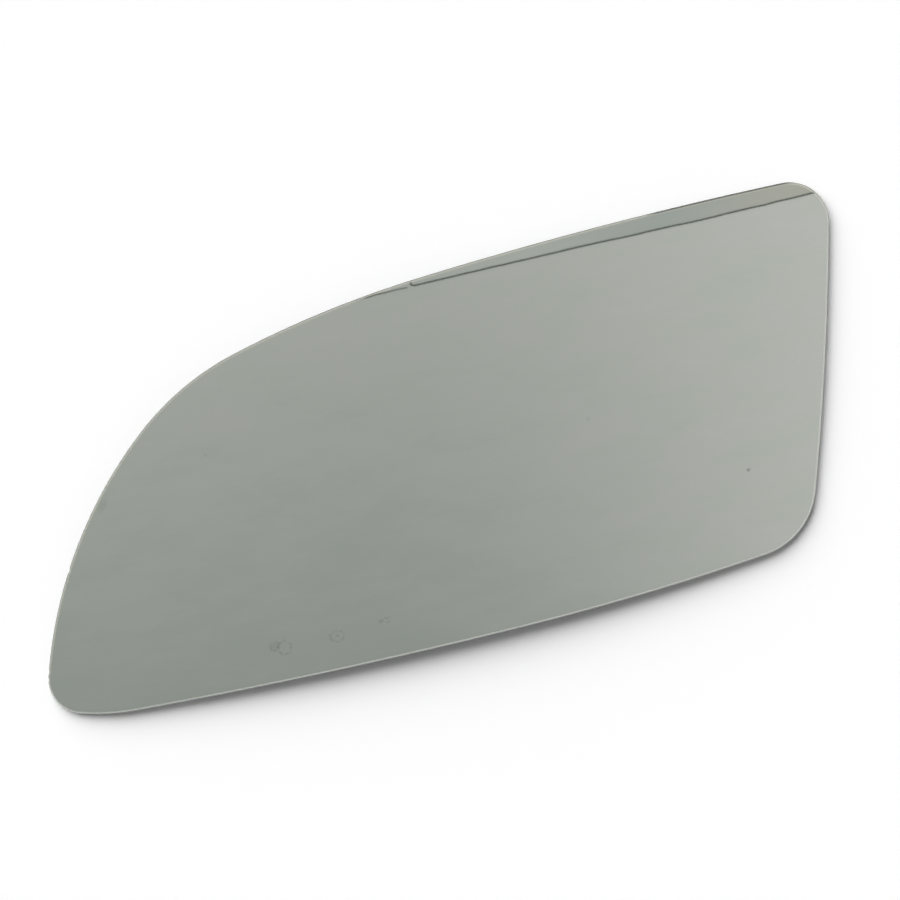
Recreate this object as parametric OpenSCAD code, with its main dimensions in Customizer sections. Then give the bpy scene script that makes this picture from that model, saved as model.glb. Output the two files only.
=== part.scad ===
// Car door mirror glass: a bent sheet of silvered glass with a ground edge.
//
// It lies mirror face up on its rim, as it comes to rest on a bench. X runs along
// the bottom side, Y up the glass and Z up. The outline is drawn in plan from the
// heel, the sharp point where the bottom side and the nose side would meet, and is
// then centred. It runs counter-clockwise through four bowed sides:
// bottom, end (the tall side, at the right), top and nose (the round side, at the left).
// All sizes are in millimetres.

/* [Sharp corners, measured from the heel] */
// Heel to toe, where the bottom and end sides would meet
bottom_length = 176.7; // [170:0.1:183]
// Heel to peak along X, where the end and top sides would meet
peak_reach = 200.5; // [195:0.1:206]
// Height of the peak above the bottom side
peak_height = 81.2; // [76:0.1:86]
// Heel to brow along X, where the top and nose sides would meet
brow_reach = 62.2; // [59:0.1:65]
// Height of the brow above the bottom side
brow_height = 75.4; // [72:0.1:78]

/* [Bow of the sides] */
// Radius of the bottom side
bottom_r = 1340; // [1000:10:2200]
// Radius of the end side
end_r = 720; // [500:10:1200]
// Radius of the top side
top_r = 1060; // [850:10:1500]
// Radius of the nose side
nose_r = 103; // [96:0.5:112]

/* [Corner rounds] */
// Radius at the heel, lower left
heel_round = 7.9; // [6:0.1:10]
// Radius at the toe, lower right
toe_round = 16.9; // [12:0.1:20]
// Radius at the peak, upper right
peak_round = 8.8; // [6:0.1:12]
// Radius at the brow, upper left
brow_round = 63.5; // [57:0.5:69]

/* [Easing arcs that lead from a side into its corner round] */
// Where the top side starts to fall towards the brow, from the heel along X
brow_ease_start = 104.6; // [99:0.1:111]
// Radius of the fall towards the brow
brow_ease_r = 248; // [215:1:290]
// Where the bottom side starts to rise towards the toe, from the heel along X
toe_ease_start = 110.5; // [98:0.1:124]
// Radius of the rise towards the toe
toe_ease_r = 630; // [520:5:760]
// Where the bottom side starts to rise towards the heel, from the heel along X
heel_ease_start = 20.7; // [18:0.1:24]
// Radius of the rise towards the heel
heel_ease_r = 53; // [42:0.5:68]

/* [Glass] */
// Thickness of the glass
glass_t = 2; // [1.6:0.1:3]
// Bend radius of the mirror face
bend_r = 1400; // [1000:10:2200]
// Width of the arris ground along each edge
arris = 0.4; // [0.2:0.05:0.7]

/* [Hidden] */

// Largest gap between the outline's chords and its true arcs
chord_gap = 0.01;
// How far the edge profile runs past both faces, so that each face trims it cleanly
run_past = 1;
// Facets around the two bend spheres
bend_facets = 256;
glass_colour = "#A3AAA0";

// An arc is [centre, radius]. All arcs bow outwards, so each lies inside the next
// larger one where they touch.

// Arc of radius r through a and b, with its centre to the left of the way from a to b
function side_arc(a, b, r) =
    let (d = b - a, rise = sqrt(r * r - d * d / 4))
    [(a + b) / 2 + rise * [-d.y, d.x] / norm(d), r];

// Point of an arc at x, on its lower half (way = -1) or its upper half (way = 1)
function arc_point(arc, x, way) =
    [x, arc[0].y + way * sqrt(arc[1] * arc[1] - pow(x - arc[0].x, 2))];

// Arc of radius r that leaves another arc smoothly at point p
function ease_arc(from, p, r) = [p + (from[0] - p) * r / from[1], r];

// Round of radius r that touches arc a and then arc b
function corner_arc(a, b, r) =
    let (
        d = b[0] - a[0],
        l = norm(d),
        reach_a = a[1] - r,
        reach_b = b[1] - r,
        along = (reach_a * reach_a - reach_b * reach_b + l * l) / (2 * l),
        across = sqrt(reach_a * reach_a - along * along)
    )
    [a[0] + (d * along + [-d.y, d.x] * across) / l, r];

// Point where one arc passes smoothly into the next
function joint_point(a, b) = a[0] + (b[0] - a[0]) * a[1] / (a[1] - b[1]);

heel = [0, 0];
toe = [bottom_length, 0];
peak = [peak_reach, peak_height];
brow = [brow_reach, brow_height];

bottom_side = side_arc(heel, toe, bottom_r);
end_side = side_arc(toe, peak, end_r);
top_side = side_arc(peak, brow, top_r);
nose_side = side_arc(brow, heel, nose_r);
toe_ease = ease_arc(bottom_side, arc_point(bottom_side, toe_ease_start, -1), toe_ease_r);
heel_ease = ease_arc(bottom_side, arc_point(bottom_side, heel_ease_start, -1), heel_ease_r);
brow_ease = ease_arc(top_side, arc_point(top_side, brow_ease_start, 1), brow_ease_r);
toe_corner = corner_arc(toe_ease, end_side, toe_round);
peak_corner = corner_arc(end_side, top_side, peak_round);
brow_corner = corner_arc(brow_ease, nose_side, brow_round);
heel_corner = corner_arc(nose_side, heel_ease, heel_round);

outline = [
    bottom_side, toe_ease, toe_corner,
    end_side, peak_corner,
    top_side, brow_ease, brow_corner,
    nose_side, heel_corner, heel_ease
];

// Steps along one arc between the joints with its neighbours, each [point, outward normal]
function arc_steps(before, arc, after) =
    let (
        from = joint_point(before, arc) - arc[0],
        to = joint_point(arc, after) - arc[0],
        start = atan2(from.y, from.x),
        sweep = (atan2(to.y, to.x) - start + 720) % 360,
        count = ceil(sweep / (2 * acos(1 - chord_gap / arc[1])))
    )
    [for (k = [0 : count - 1])
        let (a = start + sweep * k / count, out = [cos(a), sin(a)])
        [arc[0] + arc[1] * out, out]];

rim_steps = [for (i = [0 : len(outline) - 1])
    each arc_steps(
        outline[(i + len(outline) - 1) % len(outline)],
        outline[i],
        outline[(i + 1) % len(outline)])];
rim_count = len(rim_steps);
rim_x = [for (s = rim_steps) s[0].x];
rim_y = [for (s = rim_steps) s[0].y];
plan_middle = [min(rim_x) + max(rim_x), min(rim_y) + max(rim_y)] / 2;

// At rest the rim touches the ground at the heel, toe and peak corners, so the top of
// the bend stands over the centre of the circle that encloses those three corners.
supports = [heel_corner, toe_corner, peak_corner];

function far_point(arc, from) = arc[0] + (arc[0] - from) * arc[1] / norm(arc[0] - from);

function circle_centre(a, b, c) =
    let (p = b - a, q = c - a, twist = 2 * (p.x * q.y - p.y * q.x))
    a + [q.y * (p * p) - p.y * (q * q), p.x * (q * q) - q.x * (p * p)] / twist;

function enclosing_centre(from, passes = 6) =
    passes == 0 ? from : enclosing_centre(circle_centre(
        far_point(supports[0], from),
        far_point(supports[1], from),
        far_point(supports[2], from)), passes - 1);

bend_middle = enclosing_centre((heel_corner[0] + toe_corner[0] + peak_corner[0]) / 3);
support_reach = norm(far_point(heel_corner, bend_middle) - bend_middle) - arris;
bend_plan = bend_middle - plan_middle;
bend_z = -(bend_r - glass_t) * sqrt(1 - pow(support_reach / bend_r, 2));
bend_centre = [bend_plan.x, bend_plan.y, bend_z];
top_z = bend_z + bend_r;

// Plan of the rim, moved in square to the outline
function rim_plan(inset) = [for (s = rim_steps) s[0] - s[1] * inset - plan_middle];

// The same rim at a depth below the mirror face, measured square to the glass
function bent_rim(inset, depth) =
    [for (p = rim_plan(inset))
        let (r = p - bend_plan, up = sqrt(bend_r * bend_r - r * r))
        bend_centre + [r.x, r.y, up] * (bend_r - depth) / bend_r];

function level_rim(inset, z) = [for (p = rim_plan(inset)) [p.x, p.y, z]];

// Closed skin over a stack of rims, lowest first
module rim_stack(rims) {
    top_start = (len(rims) - 1) * rim_count;
    polyhedron(
        points = [for (r = rims) each r],
        faces = [
            [for (i = [0 : rim_count - 1]) i],
            for (j = [0 : len(rims) - 2])
                for (i = [0 : rim_count - 1])
                    let (
                        k = (i + 1) % rim_count,
                        low = j * rim_count,
                        high = low + rim_count
                    )
                    each [[low + i, high + i, low + k], [low + k, high + i, high + k]],
            [for (i = [rim_count - 1 : -1 : 0]) top_start + i]
        ]
    );
}

// The outline with its ground edge and two arrises, square to the glass all round
module ground_edge() {
    trimmed = arris + run_past;
    rim_stack([
        level_rim(trimmed, -2 * run_past),
        bent_rim(trimmed, glass_t + run_past),
        bent_rim(0, glass_t - arris),
        bent_rim(0, arris),
        bent_rim(trimmed, -run_past),
        level_rim(trimmed, top_z + 2 * run_past)
    ]);
}

// The sphere's own poles lie far out at its sides
module bend_sphere(r) {
    translate(bend_centre) rotate([90, 0, 0]) sphere(r = r, $fn = bend_facets);
}

module mirror_glass() {
    color(glass_colour)
    intersection() {
        ground_edge();
        difference() {
            bend_sphere(bend_r);
            bend_sphere(bend_r - glass_t);
        }
    }
}

mirror_glass();
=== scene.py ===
"""Looks of a bent car door mirror glass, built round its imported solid.

The glass lies mirror face up on its rim. X runs along its bottom side, Y up the glass
and Z out of the mirror face. Sizes are given in millimetres and meshes are in metres.
"""

import logging
import math
from dataclasses import dataclass
from enum import Enum
from typing import Optional

import bmesh
import bpy
from bmesh.types import BMEdge, BMesh, BMFace, BMVert
from mathutils import Matrix, Vector


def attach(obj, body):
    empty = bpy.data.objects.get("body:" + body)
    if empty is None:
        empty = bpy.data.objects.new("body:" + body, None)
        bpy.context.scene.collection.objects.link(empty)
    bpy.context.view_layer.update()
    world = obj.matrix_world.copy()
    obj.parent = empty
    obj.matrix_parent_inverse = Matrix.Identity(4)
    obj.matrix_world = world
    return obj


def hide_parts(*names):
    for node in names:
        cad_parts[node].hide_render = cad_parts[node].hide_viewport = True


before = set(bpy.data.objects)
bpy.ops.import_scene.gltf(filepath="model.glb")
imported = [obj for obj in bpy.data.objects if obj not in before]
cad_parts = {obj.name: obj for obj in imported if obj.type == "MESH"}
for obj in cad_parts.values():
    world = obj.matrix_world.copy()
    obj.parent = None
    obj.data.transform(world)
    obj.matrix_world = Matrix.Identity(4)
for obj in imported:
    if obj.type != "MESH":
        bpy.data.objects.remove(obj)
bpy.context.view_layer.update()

LOG = logging.getLogger("mirror_glass")
MM = 0.001
GLASS_NODE = "mirror_glass"


def linear(colour: str) -> tuple[float, float, float, float]:
    """Turns an sRGB hex colour to linear light.

    Args:
        colour: Six hex digits after a hash sign.

    Returns:
        Red, green, blue and an alpha of 1.
    """
    shares = [int(colour[i:i + 2], 16) / 255 for i in (1, 3, 5)]
    return (*[s / 12.92 if s <= 0.04045 else ((s + 0.055) / 1.055) ** 2.4 for s in shares], 1.0)


def add_node(
    tree: bpy.types.NodeTree, kind: str, feeds: Optional[dict] = None, **settings: object
) -> bpy.types.Node:
    """Adds a node with its settings and links.

    Args:
        tree: Node tree that gets it.
        kind: Blender's name for the node type.
        feeds: For each input, by name or number, the socket that feeds it or its value.
        **settings: Properties of the node itself.

    Returns:
        The new node.
    """
    node = tree.nodes.new(kind)
    for name, value in settings.items():
        setattr(node, name, value)
    for socket, value in (feeds or {}).items():
        if isinstance(value, bpy.types.NodeSocket):
            tree.links.new(value, node.inputs[socket])
        else:
            node.inputs[socket].default_value = value
    return node


def bare_material(name: str) -> tuple[bpy.types.Material, bpy.types.NodeTree]:
    """Makes a material with an empty node tree.

    Args:
        name: What the material is.

    Returns:
        The material and its tree.
    """
    material = bpy.data.materials.new(name)
    material.use_nodes = True
    material.node_tree.nodes.clear()
    return material, material.node_tree


def object_from(bm: BMesh, name: str, materials: list[bpy.types.Material]) -> bpy.types.Object:
    """Turns a finished bmesh into an object at the origin.

    Args:
        bm: The mesh, which is freed.
        name: Name of the object and its mesh.
        materials: Its material slots, in order.

    Returns:
        The object, linked to the scene.
    """
    mesh = bpy.data.meshes.new(name)
    bm.to_mesh(mesh)
    bm.free()
    for material in materials:
        mesh.materials.append(material)
    piece = bpy.data.objects.new(name, mesh)
    bpy.context.scene.collection.objects.link(piece)
    return piece


class Skin(Enum):
    """The surfaces of the glass, by material slot."""

    FACE = 0
    ARRIS = 1
    WALL = 2
    BACK = 3
    MARGIN = 4


class Blemish(Enum):
    """Kinds of mark left on the mirror face."""

    RING = "dried edge of a water drop"
    SPOT = "speck of dirt"


@dataclass(frozen=True)
class Mark:
    """One small mark on the mirror face, drawn out by a share along a direction in degrees."""

    kind: Blemish
    x: float
    y: float
    radius: float
    soft: float
    dimming: float
    stretch: float = 1.0
    lies: float = 0.0


@dataclass(frozen=True)
class Arc:
    """An arc of the outline in plan. Each lies inside the next larger one where they touch."""

    centre: Vector
    radius: float

    def at_x(self, x: float, way: int) -> Vector:
        """Point of the arc at x, on its lower half (way -1) or its upper half (way 1)."""
        rise = math.sqrt(self.radius**2 - (x - self.centre.x) ** 2)
        return Vector((x, self.centre.y + way * rise))

    def eased(self, start: Vector, radius: float) -> "Arc":
        """A smaller arc that leaves this one smoothly at a point."""
        return Arc(start + (self.centre - start) * radius / self.radius, radius)

    def joint(self, after: "Arc") -> Vector:
        """Point where this arc passes smoothly into the next."""
        reach = self.radius / (self.radius - after.radius)
        return self.centre + (after.centre - self.centre) * reach


def side_arc(start: Vector, end: Vector, radius: float) -> Arc:
    """Arc through two points, with its centre to the left of the way between them."""
    way = end - start
    rise = math.sqrt(radius**2 - way.length_squared / 4)
    return Arc((start + end) / 2 + way.orthogonal().normalized() * rise, radius)


def corner_arc(first: Arc, second: Arc, radius: float) -> Arc:
    """Round of a given radius that touches one arc and then the next."""
    between = second.centre - first.centre
    reach = first.radius - radius
    along = (reach**2 - (second.radius - radius) ** 2 + between.length_squared) / (2 * between.length)
    across = math.sqrt(reach**2 - along**2)
    way = between.normalized()
    return Arc(first.centre + way * along + way.orthogonal() * across, radius)


@dataclass(frozen=True)
class Outline:
    """The plan outline, from the heel, where the bottom side and the nose side would meet."""

    toe: tuple[float, float] = (176.7, 0.0)
    peak: tuple[float, float] = (200.5, 81.2)
    brow: tuple[float, float] = (62.2, 75.4)
    bottom_r: float = 1340.0
    end_r: float = 720.0
    top_r: float = 1060.0
    nose_r: float = 103.0
    heel_round: float = 7.9
    toe_round: float = 16.9
    peak_round: float = 8.8
    brow_round: float = 63.5
    brow_ease_start: float = 104.6
    brow_ease_r: float = 248.0
    toe_ease_start: float = 110.5
    toe_ease_r: float = 630.0
    heel_ease_start: float = 20.7
    heel_ease_r: float = 53.0

    def arcs(self) -> list[Arc]:
        """Eleven arcs, counter-clockwise from the bottom side."""
        heel = Vector((0.0, 0.0))
        toe, peak, brow = Vector(self.toe), Vector(self.peak), Vector(self.brow)
        bottom = side_arc(heel, toe, self.bottom_r)
        end = side_arc(toe, peak, self.end_r)
        top = side_arc(peak, brow, self.top_r)
        nose = side_arc(brow, heel, self.nose_r)
        toe_ease = bottom.eased(bottom.at_x(self.toe_ease_start, -1), self.toe_ease_r)
        heel_ease = bottom.eased(bottom.at_x(self.heel_ease_start, -1), self.heel_ease_r)
        brow_ease = top.eased(top.at_x(self.brow_ease_start, 1), self.brow_ease_r)
        return [
            bottom, toe_ease, corner_arc(toe_ease, end, self.toe_round),
            end, corner_arc(end, top, self.peak_round),
            top, brow_ease, corner_arc(brow_ease, nose, self.brow_round),
            nose, corner_arc(nose, heel_ease, self.heel_round), heel_ease,
        ]


@dataclass(frozen=True)
class Bend:
    """The part of a sphere that the glass is bent to."""

    radius: float = 1400.0
    top_x: float = -10.4034
    top_y: float = 30.5373
    centre_z: float = -1393.8391

    def centre(self) -> Vector:
        """Centre of the sphere, in metres."""
        return Vector((self.top_x, self.top_y, self.centre_z)) * MM

    def lift(self, x: float, y: float) -> float:
        """Height of the mirror face over a point in plan, all in metres."""
        from_top = (Vector((x, y)) - self.centre().xy).length_squared
        return self.centre().z + math.sqrt((self.radius * MM) ** 2 - from_top)


@dataclass(frozen=True)
class SilveredFace:
    """Float glass, silvered: a grey-green metal mirror, sharp, with faint clouds in the silver."""

    tint: str = "#BEC2BC"
    cloud_tint: str = "#B7BFB7"
    roughness: float = 0.02
    cloud_length: float = 24.0
    cloud_width: float = 8.0
    cloud_turn: float = -13.0
    ragged: float = 0.45
    ragged_grain: float = 0.9
    broken_grain: float = 0.7
    marks: tuple[Mark, ...] = (
        Mark(Blemish.RING, -43.4, -34.4, 1.5, 0.42, 0.24),
        Mark(Blemish.RING, -45.6, -33.7, 0.9, 0.50, 0.20),
        Mark(Blemish.SPOT, -45.6, -33.7, 0.2, 1.20, 0.09),
        Mark(Blemish.RING, -31.2, -34.6, 1.2, 0.40, 0.18, 1.3, -13.0),
        Mark(Blemish.SPOT, -31.3, -34.5, 0.1, 0.40, 0.12),
        Mark(Blemish.SPOT, -20.8, -33.6, 0.1, 0.45, 0.17, 1.8, 5.0),
        Mark(Blemish.SPOT, -19.2, -33.1, 0.1, 0.25, 0.13, 3.0, 5.0),
        Mark(Blemish.SPOT, -19.2, -34.1, 0.1, 0.35, 0.12, 1.8, 5.0),
        Mark(Blemish.SPOT, 67.1, -19.3, 0.1, 0.34, 0.36, 1.8, 42.0),
        Mark(Blemish.SPOT, -76.6, 6.3, 0.4, 0.80, 0.08, 2.0, 47.0),
        Mark(Blemish.SPOT, 81.6, -25.0, 0.2, 0.5, 0.09, 1.6, 75.0),
        Mark(Blemish.SPOT, 34.7, 0.0, 0.2, 0.4, 0.06),
        Mark(Blemish.SPOT, -51.2, 11.9, 0.2, 0.4, 0.06),
    )

    def mark_share(
        self, tree: bpy.types.NodeTree, place: bpy.types.NodeSocket, broken: bpy.types.NodeSocket, mark: Mark
    ) -> bpy.types.NodeSocket:
        """Share of the silver's light that one mark lets through.

        Args:
            tree: The face's node tree.
            place: Object coordinates in metres, made ragged.
            broken: How much of a drop's dried edge is left at each place.
            mark: The mark.

        Returns:
            One where the face is unmarked and less on the mark.
        """
        laid = add_node(
            tree, "ShaderNodeMapping",
            {
                "Vector": place,
                "Location": Vector((mark.x, mark.y, 0.0)) * MM,
                "Rotation": (0.0, 0.0, math.radians(mark.lies)),
                "Scale": (mark.stretch, 1.0, 0.0),
            },
            vector_type="TEXTURE",
        )
        reach = add_node(tree, "ShaderNodeVectorMath", {0: laid.outputs[0]}, operation="LENGTH").outputs["Value"]
        inner, outer, core = mark.radius, mark.radius + mark.soft, 1.0 - mark.dimming
        if mark.kind is Blemish.RING:
            left = add_node(tree, "ShaderNodeMath", {0: broken, 1: -mark.dimming, 2: 1.0}, operation="MULTIPLY_ADD")
            core = left.outputs[0]
            off = add_node(tree, "ShaderNodeMath", {0: reach, 1: mark.radius * MM}, operation="SUBTRACT")
            reach = add_node(tree, "ShaderNodeMath", {0: off.outputs[0]}, operation="ABSOLUTE").outputs[0]
            inner, outer = 0.0, mark.soft
        share = add_node(
            tree, "ShaderNodeMapRange",
            {
                "Value": reach,
                "From Min": inner * MM,
                "From Max": outer * MM,
                "To Min": core,
                "To Max": 1.0,
            },
            interpolation_type="SMOOTHSTEP",
        )
        return share.outputs[0]

    def material(self) -> bpy.types.Material:
        """Makes the mirror face's material."""
        material, tree = bare_material("silvered_float_glass")
        place = add_node(tree, "ShaderNodeTexCoord").outputs["Object"]
        laid = add_node(
            tree, "ShaderNodeMapping",
            {
                "Vector": place,
                "Rotation": (0.0, 0.0, math.radians(-self.cloud_turn)),
                "Scale": (1 / (self.cloud_length * MM), 1 / (self.cloud_width * MM), 1.0),
            },
        )
        clouds = add_node(
            tree, "ShaderNodeTexNoise",
            {"Vector": laid.outputs[0], "Scale": 1.0, "Detail": 5.0, "Roughness": 0.66},
        )
        share = add_node(
            tree, "ShaderNodeMapRange",
            {"Value": clouds.outputs["Fac"], "From Min": 0.3, "From Max": 0.7},
        )
        silver = add_node(
            tree, "ShaderNodeMix",
            {"Factor": share.outputs[0], "A": linear(self.cloud_tint), "B": linear(self.tint)},
            data_type="RGBA",
        )
        wander = add_node(tree, "ShaderNodeTexNoise", {"Vector": place, "Scale": 1 / (self.ragged_grain * MM)})
        around = add_node(
            tree, "ShaderNodeVectorMath", {0: wander.outputs["Color"], 1: (0.5, 0.5, 0.5)}, operation="SUBTRACT"
        )
        ragged = add_node(
            tree, "ShaderNodeVectorMath", {0: around.outputs[0], 1: (2 * self.ragged * MM,) * 3, 2: place},
            operation="MULTIPLY_ADD",
        )
        specks = add_node(tree, "ShaderNodeTexNoise", {"Vector": place, "Scale": 1 / (self.broken_grain * MM)})
        broken = add_node(
            tree, "ShaderNodeMapRange", {"Value": specks.outputs["Fac"], "From Min": 0.4, "From Max": 0.62}
        )
        first, *others = (
            self.mark_share(tree, ragged.outputs[0], broken.outputs[0], mark) for mark in self.marks
        )
        tone = first
        for share_left in others:
            tone = add_node(tree, "ShaderNodeMath", {0: tone, 1: share_left}, operation="MULTIPLY").outputs[0]
        marked = add_node(
            tree, "ShaderNodeVectorMath", {0: silver.outputs["Result"], "Scale": tone}, operation="SCALE"
        )
        surface = add_node(
            tree, "ShaderNodeBsdfPrincipled",
            {"Base Color": marked.outputs[0], "Metallic": 1.0, "Roughness": self.roughness},
        )
        add_node(tree, "ShaderNodeOutputMaterial", {"Surface": surface.outputs[0]})
        return material


@dataclass(frozen=True)
class NoseTopSides:
    """The nose and top sides of the rim: all that lies past a slanting line. The rim's tints there carry painted
    shade in part.
    """

    line: float = 18.4
    starts: float = -2.0
    full: float = 8.0

    def share(self, tree: bpy.types.NodeTree, place: bpy.types.NodeSocket) -> bpy.types.NodeSocket:
        """Works out how far each place lies on the nose and top sides.

        Args:
            tree: Node tree that gets the nodes.
            place: Object coordinates in metres.

        Returns:
            From 0 on the bottom and end sides to 1 on the nose and top sides.
        """
        across = add_node(
            tree, "ShaderNodeMapping",
            {"Vector": place, "Rotation": (0.0, 0.0, math.radians(-self.line))},
        )
        side = add_node(tree, "ShaderNodeSeparateXYZ", {0: across.outputs[0]})
        nose_top = add_node(
            tree, "ShaderNodeMapRange",
            {"Value": side.outputs["Y"], "From Min": self.starts * MM, "From Max": self.full * MM},
            interpolation_type="SMOOTHSTEP",
        )
        return nose_top.outputs[0]


@dataclass(frozen=True)
class RimSilver:
    """The silver right beside the arris: as sharp as the face, and paler on the nose and top sides."""

    tint: str = "#BBC1BA"
    nose_top_tint: str = "#CBCFC4"
    roughness: float = 0.02
    nose_top: NoseTopSides = NoseTopSides()

    def material(self) -> bpy.types.Material:
        """Makes the material of the silver along the rim."""
        material, tree = bare_material("silver_at_rim")
        place = add_node(tree, "ShaderNodeTexCoord").outputs["Object"]
        tint = add_node(
            tree, "ShaderNodeMix",
            {"Factor": self.nose_top.share(tree, place), "A": linear(self.tint), "B": linear(self.nose_top_tint)},
            data_type="RGBA",
        )
        surface = add_node(
            tree, "ShaderNodeBsdfPrincipled",
            {"Base Color": tint.outputs["Result"], "Metallic": 1.0, "Roughness": self.roughness},
        )
        add_node(tree, "ShaderNodeOutputMaterial", {"Surface": surface.outputs[0]})
        return material


@dataclass(frozen=True)
class GroundArris:
    """Ground glass over silver: a satin band, paler than the face, with the wheel's fine marks.

    The silver behind it shines through, so it takes its light as a rough metal does. Along
    the nose and top sides it's tinted creamy and its outer line is darkened, a painted shade
    of the cut wall in shadow, and near the peak it's darker.
    """

    pale: str = "#CFD2CD"
    deep: str = "#BDC1BA"
    cream: str = "#CFD1C7"
    roughness: float = 0.36
    grit: float = 0.5
    width: float = 0.4
    # Share of its light that the arris's outer line keeps on the nose and top sides: painted shade.
    outer_shade_tone: float = 0.42
    peak_dark_tone: float = 0.42
    peak_dark_from: float = 58.0
    peak_dark_to: float = 92.0
    peak_dark_fade: float = 2.5
    nose_top: NoseTopSides = NoseTopSides()
    bend: Bend = Bend()

    def outer_share(self, tree: bpy.types.NodeTree, place: bpy.types.NodeSocket) -> bpy.types.NodeSocket:
        """Works out how far down the arris each place lies.

        Args:
            tree: Node tree that gets the nodes.
            place: Object coordinates in metres.

        Returns:
            From 0 at the face to 1 at the cut wall.
        """
        from_centre = add_node(
            tree, "ShaderNodeVectorMath", {0: place, 1: self.bend.centre()}, operation="DISTANCE"
        )
        down = add_node(
            tree, "ShaderNodeMapRange",
            {
                "Value": from_centre.outputs["Value"],
                "From Min": self.bend.radius * MM,
                "From Max": (self.bend.radius - self.width) * MM,
            },
            interpolation_type="SMOOTHSTEP",
        )
        return down.outputs[0]

    def peak_dark_share(self, tree: bpy.types.NodeTree, place: bpy.types.NodeSocket) -> bpy.types.NodeSocket:
        """Works out where the arris is darker near the peak, ragged at both ends.

        Args:
            tree: Node tree that gets the nodes.
            place: Object coordinates in metres.

        Returns:
            From 0 where it keeps its tint to 1 where it's darkest.
        """
        axes = add_node(tree, "ShaderNodeSeparateXYZ", {0: place})
        ends = [
            add_node(
                tree, "ShaderNodeMapRange",
                {"Value": axes.outputs["X"], "From Min": plain_x * MM, "From Max": dark_x * MM},
            ).outputs[0]
            for plain_x, dark_x in (
                (self.peak_dark_from, self.peak_dark_from + self.peak_dark_fade),
                (self.peak_dark_to, self.peak_dark_to - self.peak_dark_fade),
            )
        ]
        return add_node(tree, "ShaderNodeMath", {0: ends[0], 1: ends[1]}, operation="MULTIPLY").outputs[0]

    def darken(
        self, tree: bpy.types.NodeTree, tint: bpy.types.NodeSocket, share: bpy.types.NodeSocket, tone: float
    ) -> bpy.types.NodeSocket:
        """Darkens a colour by a share.

        Args:
            tree: Node tree that gets the nodes.
            tint: The colour.
            share: How much of the darkening each place gets.
            tone: Share of its light that the colour keeps where the darkening is full.

        Returns:
            The darkened colour.
        """
        kept = add_node(tree, "ShaderNodeMapRange", {"Value": share, "To Min": 1.0, "To Max": tone})
        return add_node(
            tree, "ShaderNodeVectorMath", {0: tint, "Scale": kept.outputs[0]}, operation="SCALE"
        ).outputs[0]

    def material(self) -> bpy.types.Material:
        """Makes the arris's material."""
        material, tree = bare_material("ground_glass_arris")
        place = add_node(tree, "ShaderNodeTexCoord").outputs["Object"]
        grain = add_node(
            tree, "ShaderNodeTexNoise",
            {"Vector": place, "Scale": 1 / (self.grit * MM), "Detail": 3.0, "Roughness": 0.6},
        )
        ground = add_node(
            tree, "ShaderNodeMix",
            {"Factor": grain.outputs["Fac"], "A": linear(self.deep), "B": linear(self.pale)},
            data_type="RGBA",
        )
        nose_top = self.nose_top.share(tree, place)
        tint = add_node(
            tree, "ShaderNodeMix",
            {"Factor": nose_top, "A": ground.outputs["Result"], "B": linear(self.cream)},
            data_type="RGBA",
        )
        colour = tint.outputs["Result"]
        # Painted shade: on the nose and top sides the arris's outer line is darkened for the cut wall in shadow;
        # near the peak the arris is darkened too.
        for share, tone in (
            (self.outer_share(tree, place), self.outer_shade_tone),
            (self.peak_dark_share(tree, place), self.peak_dark_tone),
        ):
            on_nose_top = add_node(tree, "ShaderNodeMath", {0: share, 1: nose_top}, operation="MULTIPLY")
            colour = self.darken(tree, colour, on_nose_top.outputs[0], tone)
        relief = add_node(
            tree, "ShaderNodeBump",
            {"Height": grain.outputs["Fac"], "Strength": 0.5, "Distance": 0.03 * MM},
        )
        surface = add_node(
            tree, "ShaderNodeBsdfPrincipled",
            {
                "Base Color": colour,
                "Metallic": 1.0,
                "Roughness": self.roughness,
                "Normal": relief.outputs[0],
            },
        )
        add_node(tree, "ShaderNodeOutputMaterial", {"Surface": surface.outputs[0]})
        return material


@dataclass(frozen=True)
class CutWall:
    """Cut glass edge, looked into end-on: dark grey-green and half glossy, with hackle lines."""

    dark: str = "#4E5450"
    light: str = "#6A716B"
    roughness: float = 0.3
    hackle: float = 0.7

    def material(self) -> bpy.types.Material:
        """Makes the cut wall's material."""
        material, tree = bare_material("cut_glass_wall")
        place = add_node(tree, "ShaderNodeTexCoord").outputs["Object"]
        drawn = add_node(
            tree, "ShaderNodeMapping",
            {"Vector": place, "Scale": (1 / (self.hackle * MM), 1 / (self.hackle * MM), 1 / (4 * self.hackle * MM))},
        )
        lines = add_node(
            tree, "ShaderNodeTexNoise", {"Vector": drawn.outputs[0], "Scale": 1.0, "Detail": 3.0, "Roughness": 0.6}
        )
        tint = add_node(
            tree, "ShaderNodeMix",
            {"Factor": lines.outputs["Fac"], "A": linear(self.dark), "B": linear(self.light)},
            data_type="RGBA",
        )
        relief = add_node(
            tree, "ShaderNodeBump", {"Height": lines.outputs["Fac"], "Strength": 0.4, "Distance": 0.04 * MM}
        )
        surface = add_node(
            tree, "ShaderNodeBsdfPrincipled",
            {
                "Base Color": tint.outputs["Result"],
                "Roughness": self.roughness,
                "IOR": 1.52,
                "Normal": relief.outputs[0],
            },
        )
        add_node(tree, "ShaderNodeOutputMaterial", {"Surface": surface.outputs[0]})
        return material


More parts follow.
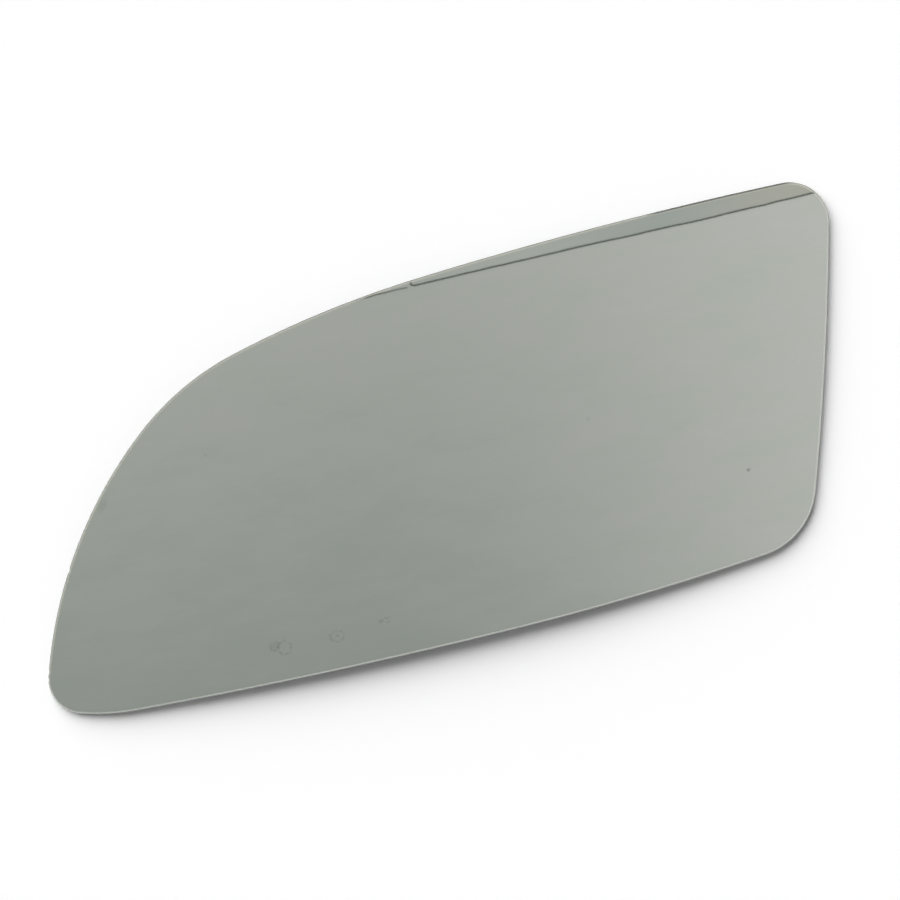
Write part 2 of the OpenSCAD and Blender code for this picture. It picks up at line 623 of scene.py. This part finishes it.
@dataclass(frozen=True)
class BackPaint:
    """Mirror backing lacquer, rolled on: a matt blue-grey coat with a fine orange peel."""

    tint: str = "#6F7577"
    shade: str = "#666C6E"
    roughness: float = 0.55
    peel: float = 1.4
    patch: float = 22.0

    def material(self) -> bpy.types.Material:
        """Makes the back's material."""
        material, tree = bare_material("mirror_backing_lacquer")
        place = add_node(tree, "ShaderNodeTexCoord").outputs["Object"]
        patches = add_node(
            tree, "ShaderNodeTexNoise",
            {"Vector": place, "Scale": 1 / (self.patch * MM), "Detail": 4.0, "Roughness": 0.6},
        )
        tint = add_node(
            tree, "ShaderNodeMix",
            {"Factor": patches.outputs["Fac"], "A": linear(self.shade), "B": linear(self.tint)},
            data_type="RGBA",
        )
        peel = add_node(
            tree, "ShaderNodeTexNoise",
            {"Vector": place, "Scale": 1 / (self.peel * MM), "Detail": 1.0},
        )
        relief = add_node(
            tree, "ShaderNodeBump",
            {"Height": peel.outputs["Fac"], "Strength": 0.35, "Distance": 0.05 * MM},
        )
        surface = add_node(
            tree, "ShaderNodeBsdfPrincipled",
            {"Base Color": tint.outputs["Result"], "Roughness": self.roughness, "Normal": relief.outputs[0]},
        )
        add_node(tree, "ShaderNodeOutputMaterial", {"Surface": surface.outputs[0]})
        return material


@dataclass(frozen=True)
class Chip:
    """A shell-shaped chip broken from the rim on the face side, centred on the outline."""

    x: float
    y: float
    reach: float
    depth: float


@dataclass(frozen=True)
class MirrorGlass:
    """The one piece: a bent sheet of silvered glass with its ground edge."""

    outline: Outline = Outline()
    bend: Bend = Bend()
    thickness: float = 2.0
    arris: float = 0.4
    worn: float = 0.06
    chord_gap: float = 0.003
    margin_ring: float = 0.66
    rim_ring: float = 0.6
    cell: float = 3.0
    smooth_below: float = 10.0
    chips: tuple[Chip, ...] = (
        Chip(-87.65, -6.39, 0.7, 0.42),
        Chip(-88.40, -8.45, 0.5, 0.28),
        Chip(-97.28, -27.59, 0.6, 0.30),
        Chip(-97.74, -29.23, 0.5, 0.26),
    )
    chip_cuts: int = 9
    face: SilveredFace = SilveredFace()
    ground: GroundArris = GroundArris()
    wall: CutWall = CutWall()
    back: BackPaint = BackPaint()
    margin: RimSilver = RimSilver()

    def draw_rim(self, bm: BMesh) -> BMFace:
        """Spins a point along the outline's arcs and closes them to one flat face.

        Args:
            bm: Empty mesh that gets the face.

        Returns:
            The face, centred in plan and looking up.
        """
        arcs = self.outline.arcs()
        joints = [arc.joint(arcs[(i + 1) % len(arcs)]) for i, arc in enumerate(arcs)]
        tip = bm.verts.new((*joints[-1] * MM, 0.0))
        for i, arc in enumerate(arcs):
            start, end = joints[i - 1] - arc.centre, joints[i] - arc.centre
            sweep = -start.angle_signed(end)
            step = 2 * math.acos(1 - self.chord_gap / arc.radius)
            spun = bmesh.ops.spin(
                bm, geom=[tip], cent=(*arc.centre * MM, 0.0), axis=(0.0, 0.0, 1.0),
                angle=sweep, steps=math.ceil(sweep / step),
            )
            tip = next(g for g in spun["geom_last"] if isinstance(g, BMVert))
        bmesh.ops.remove_doubles(bm, verts=bm.verts[:], dist=0.02 * MM)
        sheet = bmesh.ops.contextual_create(bm, geom=bm.edges[:])["faces"][0]
        if sheet.normal.z < 0:
            sheet.normal_flip()
        low, high = (Vector([pick(v.co[k] for v in bm.verts) for k in range(2)]) for pick in (min, max))
        bmesh.ops.translate(bm, vec=(*-(low + high) / 2, 0.0), verts=bm.verts[:])
        chipped = [
            edge for edge in bm.edges
            if any(min((v.co.xy / MM - Vector((c.x, c.y))).length for v in edge.verts) < 2.0 for c in self.chips)
        ]
        bmesh.ops.subdivide_edges(bm, edges=chipped, cuts=self.chip_cuts)
        return sheet

    def cut_cells(self, bm: BMesh, sheet: BMFace) -> None:
        """Sets two rings of faces round the rim and cuts the rest into square cells.

        Args:
            bm: Mesh with the flat sheet.
            sheet: Its face.
        """
        for ring, skin in ((self.margin_ring, Skin.MARGIN), (self.rim_ring, Skin.FACE)):
            grown = bmesh.ops.inset_region(
                bm, faces=[sheet], thickness=ring * MM, use_boundary=True, use_even_offset=True
            )
            for face in grown["faces"]:
                face.material_index = skin.value
        inner = [sheet]
        for axis in range(2):
            reach = max(abs(v.co[axis]) for v in bm.verts)
            count = math.floor(reach / (self.cell * MM))
            normal = Vector([float(k == axis) for k in range(3)])
            for k in range(-count, count + 1):
                near = {g for f in inner for g in (f, *f.edges, *f.verts)}
                cut = bmesh.ops.bisect_plane(
                    bm, geom=list(near), dist=0.001 * MM, plane_co=normal * k * self.cell * MM, plane_no=normal
                )
                inner = [g for g in cut["geom"] if isinstance(g, BMFace)]

    def bend_sheet(self, bm: BMesh) -> None:
        """Lays the flat sheet on the bend and gives it its thickness, square to the bend."""
        for vert in bm.verts:
            vert.co.z = self.bend.lift(vert.co.x, vert.co.y)
        grown = bmesh.ops.extrude_face_region(bm, geom=bm.faces[:], use_keep_orig=True)
        share = 1 - self.thickness / self.bend.radius
        bmesh.ops.scale(
            bm, vec=(share,) * 3, space=Matrix.Translation(-self.bend.centre()),
            verts=[g for g in grown["geom"] if isinstance(g, BMVert)],
        )
        bmesh.ops.recalc_face_normals(bm, faces=bm.faces[:])

    def grind_edges(self, bm: BMesh) -> None:
        """Grinds the arris along both rims and then wears the sharp lines that it leaves."""
        for width, segments in ((self.arris, 1), (self.worn, 2)):
            sharp = [e for e in bm.edges if e.calc_face_angle(0.0) > math.radians(30)]
            bmesh.ops.bevel(
                bm, geom=sharp, offset=width * MM, offset_type="OFFSET", segments=segments,
                profile=0.5, affect="EDGES", clamp_overlap=False, material=-1,
            )

    def break_chips(self, bm: BMesh) -> None:
        """Pushes the rim in at each chip, most on the face and not at all past half depth."""
        centre = self.bend.centre()
        for chip in self.chips:
            place = Vector((chip.x, chip.y))
            inward = -place.normalized()
            for vert in bm.verts:
                off = (vert.co.xy / MM - place).length
                down = self.bend.radius - (vert.co - centre).length / MM
                if off < chip.reach and down < self.thickness / 2:
                    share = (1 - (off / chip.reach) ** 2) * (1 - 2 * down / self.thickness)
                    vert.co.xy += inward * chip.depth * share * MM

    def sort_skins(self, bm: BMesh) -> None:
        """Gives each face its finish, by how far it leans from the bend, and shades it smooth.

        The ground faces are flat across, so the shading stays sharp where two of them meet.
        """
        for face in bm.faces:
            out = (face.calc_center_median() - self.bend.centre()).normalized()
            lean = abs(face.normal.dot(out))
            front = Skin.MARGIN if face.material_index == Skin.MARGIN.value else Skin.FACE
            broad = front if face.normal.dot(out) > 0 else Skin.BACK
            skin = broad if lean > 0.998 else Skin.ARRIS if lean > 0.6 else Skin.WALL
            face.material_index = skin.value
            face.smooth = True
        for edge in bm.edges:
            edge.smooth = edge.calc_face_angle(0.0) < math.radians(self.smooth_below)

    def true_normals(self, mesh: bpy.types.Mesh) -> None:
        """Gives the two broad faces the bend's own normals, so that reflections are true."""
        centre = self.bend.centre()
        normals = [Vector(corner.vector) for corner in mesh.corner_normals]
        for face in mesh.polygons:
            if face.material_index in (Skin.ARRIS.value, Skin.WALL.value):
                continue
            way = -1 if face.material_index == Skin.BACK.value else 1
            for corner in face.loop_indices:
                point = mesh.vertices[mesh.loops[corner].vertex_index].co
                normals[corner] = (point - centre).normalized() * way
        mesh.normals_split_custom_set(normals)

    def build(self) -> bpy.types.Object:
        """Builds and dresses the glass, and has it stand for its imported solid.

        Returns:
            The finished piece.
        """
        bm = bmesh.new()
        sheet = self.draw_rim(bm)
        self.cut_cells(bm, sheet)
        self.bend_sheet(bm)
        self.grind_edges(bm)
        self.sort_skins(bm)
        self.break_chips(bm)
        skins = (self.face, self.ground, self.wall, self.back, self.margin)
        finishes = [skin.material() for skin in skins]
        piece = object_from(bm, "mirror_glass_sheet", finishes)
        self.true_normals(piece.data)
        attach(piece, "root")
        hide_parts(GLASS_NODE)
        return piece


@dataclass(frozen=True)
class Viewpoint:
    """The photograph's camera: nearly square to the glass, which lies turned in the picture."""

    lens: float = 135.0
    distance: float = 759.4
    tilt: float = 6.0
    tilt_towards: float = -45.0
    turn: float = 13.0
    aim: tuple[float, float, float] = (2.95, 0.44, 4.0)

    def picture_axes(self) -> tuple[Vector, Vector]:
        """The picture's right and up directions, level in the object's frame."""
        turn = math.radians(self.turn)
        right = Vector((math.cos(turn), -math.sin(turn), 0.0))
        up = Vector((math.sin(turn), math.cos(turn), 0.0))
        return right, up

    def build(self) -> bpy.types.Object:
        """Makes the camera and gives it to the scene.

        Returns:
            The camera object.
        """
        right, up = self.picture_axes()
        towards = math.radians(self.tilt_towards)
        lean = right * math.cos(towards) + up * math.sin(towards)
        tilt = math.radians(self.tilt)
        back = lean * math.sin(tilt) + Vector((0.0, 0.0, math.cos(tilt)))
        across = up.cross(back).normalized()
        turned = Matrix((across, back.cross(across), back)).transposed().to_4x4()
        data = bpy.data.cameras.new("camera")
        data.lens = self.lens
        data.sensor_width = 36.0
        data.clip_start = 0.05
        data.clip_end = 20.0
        camera = bpy.data.objects.new("camera", data)
        place = (Vector(self.aim) + back * self.distance) * MM
        camera.matrix_world = Matrix.Translation(place) @ turned
        bpy.context.scene.collection.objects.link(camera)
        bpy.context.scene.camera = camera
        return camera


@dataclass(frozen=True)
class Floor:
    """Plain white floor, which the picture shows as white and which keeps the shadow."""

    half_width: float = 3000.0
    tint: str = "#FAFAFA"
    gain_to_white: float = 1.11

    def material(self) -> bpy.types.Material:
        """Matt white paper, seen through from below so that the underside can be looked at."""
        material, tree = bare_material("white_paper")
        ray = add_node(tree, "ShaderNodeLightPath")
        gain = add_node(
            tree, "ShaderNodeMapRange", {"Value": ray.outputs["Is Camera Ray"], "To Min": 1.0, "To Max": self.gain_to_white}
        )
        white = add_node(
            tree, "ShaderNodeVectorMath", {0: linear(self.tint)[:3], "Scale": gain.outputs[0]}, operation="SCALE"
        )
        seen = add_node(tree, "ShaderNodeBsdfDiffuse", {"Color": white.outputs[0]})
        clear = add_node(tree, "ShaderNodeBsdfTransparent")
        side = add_node(tree, "ShaderNodeNewGeometry")
        both = add_node(
            tree, "ShaderNodeMixShader", {0: side.outputs["Backfacing"], 1: seen.outputs[0], 2: clear.outputs[0]}
        )
        add_node(tree, "ShaderNodeOutputMaterial", {"Surface": both.outputs[0]})
        return material

    def build(self) -> bpy.types.Object:
        """Makes the floor at the height that the glass rests on.

        Returns:
            The floor object.
        """
        bm = bmesh.new()
        bmesh.ops.create_grid(bm, x_segments=1, y_segments=1, size=self.half_width * MM)
        floor = object_from(bm, "floor", [self.material()])
        return floor


@dataclass(frozen=True)
class CeilingPanels:
    """The pale ceiling boards that the mirror shows, with the dark joint between two of them.

    Only glossy rays see them, so they light nothing. The joint runs straight and then bows
    a little at its right, and it ends at a rounded corner with a second run left of it. The
    boards reach so far out that the mirror shows no end of them from low views either.
    """

    height: float = 300.0
    half_length: float = 1800.0
    near_edge: float = -1800.0
    far_edge: float = 1800.0
    joint_y: float = 82.6
    joint_width: float = 0.65
    bow_start: float = 92.0
    bow_end: float = 600.0
    bow_radius: float = 1950.0
    corner_x: float = -8.0
    corner_radius: float = 1.3
    left_run_x: float = -9.6
    left_run_length: float = 25.0
    near_tint: str = "#AEB0AE"
    far_tint: str = "#C8C7C6"
    lamp_tint: str = "#E6E3E3"
    near_board_shades: tuple[tuple[float, str], ...] = ((0.0, "#FFFFFF"),)
    far_board_shades: tuple[tuple[float, str], ...] = ((35.0, "#FBFCFC"), (97.0, "#E5EAE9"), (155.0, "#EDEAE5"))
    joint_tint: str = "#4A504A"
    glow: float = 1.215
    near_y: float = -69.6
    far_y: float = 80.0
    lamp_from: float = -58.6
    lamp_full: float = 238.2
    lamp_slant: float = -0.144

    def board_material(self, name: str, shades: tuple[tuple[float, str], ...]) -> bpy.types.Material:
        """Pale painted board, brighter towards the lamp at its right.

        Args:
            name: Name of the material.
            shades: Tints that the board's own colours are multiplied by, each at its x.

        Returns:
            The material.
        """
        material, tree = bare_material(name)
        place = add_node(tree, "ShaderNodeTexCoord").outputs["Object"]
        axes = add_node(tree, "ShaderNodeSeparateXYZ", {0: place})
        slant = add_node(
            tree, "ShaderNodeMath", {0: axes.outputs["Y"], 1: self.lamp_slant, 2: axes.outputs["X"]},
            operation="MULTIPLY_ADD",
        )
        across = add_node(
            tree, "ShaderNodeMapRange",
            {"Value": slant.outputs[0], "From Min": self.lamp_from * MM, "From Max": self.lamp_full * MM},
            interpolation_type="SMOOTHSTEP",
        )
        along = add_node(
            tree, "ShaderNodeMapRange",
            {"Value": axes.outputs["Y"], "From Min": self.near_y * MM, "From Max": self.far_y * MM},
        )
        board = add_node(
            tree, "ShaderNodeMix",
            {"Factor": along.outputs[0], "A": linear(self.near_tint), "B": linear(self.far_tint)},
            data_type="RGBA",
        )
        lit = add_node(
            tree, "ShaderNodeMix",
            {"Factor": across.outputs[0], "A": board.outputs["Result"], "B": linear(self.lamp_tint)},
            data_type="RGBA",
        )
        shade = linear(shades[0][1])
        for (left, _), (right, tint) in zip(shades, shades[1:]):
            reached = add_node(
                tree, "ShaderNodeMapRange",
                {"Value": axes.outputs["X"], "From Min": left * MM, "From Max": right * MM},
                interpolation_type="SMOOTHSTEP",
            )
            shade = add_node(
                tree, "ShaderNodeMix", {"Factor": reached.outputs[0], "A": shade, "B": linear(tint)},
                data_type="RGBA",
            ).outputs["Result"]
        paint = add_node(
            tree, "ShaderNodeMix", {"Factor": 1.0, "A": lit.outputs["Result"], "B": shade},
            data_type="RGBA", blend_type="MULTIPLY",
        )
        glow = add_node(tree, "ShaderNodeEmission", {"Color": paint.outputs["Result"], "Strength": self.glow})
        add_node(tree, "ShaderNodeOutputMaterial", {"Surface": glow.outputs[0]})
        return material

    def joint_material(self) -> bpy.types.Material:
        """Shadow in the joint between two boards."""
        material, tree = bare_material("ceiling_joint_shadow")
        glow = add_node(tree, "ShaderNodeEmission", {"Color": linear(self.joint_tint)})
        add_node(tree, "ShaderNodeOutputMaterial", {"Surface": glow.outputs[0]})
        return material

    def show_in_mirror_only(self, card: bpy.types.Object) -> bpy.types.Object:
        """Hides a card from all but glossy rays."""
        card.visible_camera = False
        card.visible_diffuse = False
        card.visible_transmission = False
        card.visible_volume_scatter = False
        card.visible_shadow = False
        return card

    def crossbar(self, bm: BMesh, x: float, low: float, high: float, level: float) -> list[BMEdge]:
        """Draws one edge across the boards.

        Args:
            bm: Mesh that gets it.
            x: Where it is along the boards.
            low: Its near end.
            high: Its far end.
            level: Its height.

        Returns:
            The edge, in a list.
        """
        ends = [bm.verts.new(Vector((x, y, level)) * MM) for y in (low, high)]
        return [bm.edges.new(ends)]

    def run_on(self, bm: BMesh, bar: list[BMEdge], step: tuple[float, float]) -> list[BMEdge]:
        """Extrudes a crossbar in a straight line and gives its new end."""
        grown = bmesh.ops.extrude_edge_only(bm, edges=bar)["geom"]
        ends = [g for g in grown if isinstance(g, BMVert)]
        bmesh.ops.translate(bm, vec=Vector((*step, 0.0)) * MM, verts=ends)
        return [g for g in grown if isinstance(g, BMEdge) and set(g.verts) == set(ends)]

    def turn(
        self, bm: BMesh, bar: list[BMEdge], centre: tuple[float, float], angle: float, steps: int
    ) -> list[BMEdge]:
        """Spins a crossbar about a point in plan and gives its new end."""
        level = bar[0].verts[0].co.z
        spun = bmesh.ops.spin(
            bm, geom=bar, cent=(*Vector(centre) * MM, level), axis=(0.0, 0.0, 1.0), angle=angle, steps=steps
        )
        return [g for g in spun["geom_last"] if isinstance(g, BMEdge)]

    def bowed_run(self, bm: BMesh, low: float, high: float, level: float) -> list[BMEdge]:
        """Draws a crossbar where the bow starts and runs it along the bow and then straight on."""
        bar = self.crossbar(bm, self.bow_start, low, high, level)
        swing = (self.bow_end - self.bow_start) / self.bow_radius
        end = self.turn(bm, bar, (self.bow_start, self.joint_y + self.bow_radius), swing, 24)
        rest = self.half_length - self.bow_end
        self.run_on(bm, end, (rest * math.cos(swing), rest * math.sin(swing)))
        return bar

    def near_board(self) -> bpy.types.Object:
        """The near board, which lies over the whole field."""
        bm = bmesh.new()
        bar = self.crossbar(bm, -self.half_length, self.near_edge, self.far_edge, self.height)
        self.run_on(bm, bar, (2 * self.half_length, 0.0))
        name = "ceiling_board_near"
        paint = self.board_material(name, self.near_board_shades)
        return self.show_in_mirror_only(object_from(bm, name, [paint]))

    def far_board(self) -> bpy.types.Object:
        """The far board, a little lower, which ends at the joint."""
        bm = bmesh.new()
        bar = self.bowed_run(bm, self.joint_y, self.far_edge, self.height - 0.2)
        self.run_on(bm, bar, (-self.half_length - self.bow_start, 0.0))
        name = "ceiling_board_far"
        paint = self.board_material(name, self.far_board_shades)
        return self.show_in_mirror_only(object_from(bm, name, [paint]))

    def joint(self) -> bpy.types.Object:
        """The dark joint: the long run, its rounded corner and the short run left of it."""
        bm = bmesh.new()
        half = self.joint_width / 2
        level = self.height - 0.5
        bend_x = self.corner_x + self.corner_radius
        bar = self.bowed_run(bm, self.joint_y - half, self.joint_y + half, level)
        bar = self.run_on(bm, bar, (bend_x - self.bow_start, 0.0))
        bar = self.turn(bm, bar, (bend_x, self.joint_y + self.corner_radius), -math.pi / 2, 8)
        self.run_on(bm, bar, (0.0, 40.0))
        right = self.crossbar(bm, self.left_run_x, self.joint_y - half, self.joint_y, level)
        left_x = self.left_run_x - self.left_run_length
        left = self.crossbar(bm, left_x, self.joint_y - half, self.joint_y + 1.4 * half, level)
        bmesh.ops.bridge_loops(bm, edges=[*right, *left])
        return self.show_in_mirror_only(object_from(bm, "ceiling_joint", [self.joint_material()]))

    def build(self) -> list[bpy.types.Object]:
        """Makes both boards and their joint.

        Returns:
            The stage objects.
        """
        return [self.near_board(), self.far_board(), self.joint()]


@dataclass(frozen=True)
class StudioLight:
    """One large soft lamp from the picture's upper left, and a plain white room."""

    elevation: float = 37.0
    above_left: float = 54.0
    softness: float = 70.0
    level: float = 0.72
    room: float = 0.28
    overhead: float = 0.6
    dim_wall: float = 0.555

    def lamp(self, view: Viewpoint) -> bpy.types.Object:
        """Makes the lamp.

        Args:
            view: The camera, whose picture the lamp's direction is given in.

        Returns:
            The lamp object.
        """
        rise = math.radians(self.elevation)
        right, up = view.picture_axes()
        swing = math.radians(self.above_left)
        plan = up * math.sin(swing) - right * math.cos(swing)
        way = plan * math.cos(rise) + Vector((0.0, 0.0, math.sin(rise)))
        data = bpy.data.lights.new("soft_lamp", "SUN")
        data.energy = self.level * math.pi / math.sin(rise)
        data.angle = math.radians(self.softness)
        lamp = bpy.data.objects.new("soft_lamp", data)
        lamp.matrix_world = way.to_track_quat("Z", "Y").to_matrix().to_4x4()
        lamp.visible_glossy = False
        bpy.context.scene.collection.objects.link(lamp)
        return lamp

    def world(self) -> bpy.types.World:
        """Makes the white room: white to the camera, dimmer overhead to the mirror."""
        world = bpy.data.worlds.new("white_room")
        world.use_nodes = True
        tree = world.node_tree
        tree.nodes.clear()
        ray = add_node(tree, "ShaderNodeLightPath")
        way = add_node(tree, "ShaderNodeTexCoord").outputs["Generated"]
        axes = add_node(tree, "ShaderNodeSeparateXYZ", {0: way})
        bright_side = add_node(
            tree, "ShaderNodeMapRange",
            {"Value": axes.outputs["X"], "From Min": 0.1, "From Max": 1.0, "To Min": self.dim_wall, "To Max": 1.0},
            interpolation_type="SMOOTHSTEP",
        )
        mirrored = add_node(
            tree, "ShaderNodeMapRange",
            {
                "Value": axes.outputs["Z"],
                "From Min": 0.3,
                "From Max": 0.9,
                "To Min": bright_side.outputs[0],
                "To Max": self.overhead,
            },
        )
        unlit = add_node(
            tree, "ShaderNodeMix", {"Factor": ray.outputs["Is Glossy Ray"], "A": self.room, "B": mirrored.outputs[0]}
        )
        strength = add_node(
            tree, "ShaderNodeMix", {"Factor": ray.outputs["Is Camera Ray"], "A": unlit.outputs[0], "B": 1.0}
        )
        back = add_node(tree, "ShaderNodeBackground", {"Strength": strength.outputs[0]})
        add_node(tree, "ShaderNodeOutputWorld", {"Surface": back.outputs[0]})
        bpy.context.scene.world = world
        return world


def main() -> None:
    """Builds the view, the stage and the glass."""
    logging.basicConfig(level=logging.INFO, format="%(message)s")
    bpy.context.scene.view_settings.view_transform = "Standard"
    view = Viewpoint()
    light = StudioLight()
    glass = MirrorGlass()
    stage = [view.build(), light.lamp(view), Floor().build(), *CeilingPanels().build()]
    light.world()
    for item in stage:
        LOG.info("stage: %s", item.name)
    piece = glass.build()
    sides = sum(len(face.vertices) - 2 for face in piece.data.polygons)
    LOG.info("piece: %s, %d faces, %d triangles", piece.name, len(piece.data.polygons), sides)


if __name__ == "__main__":
    main()
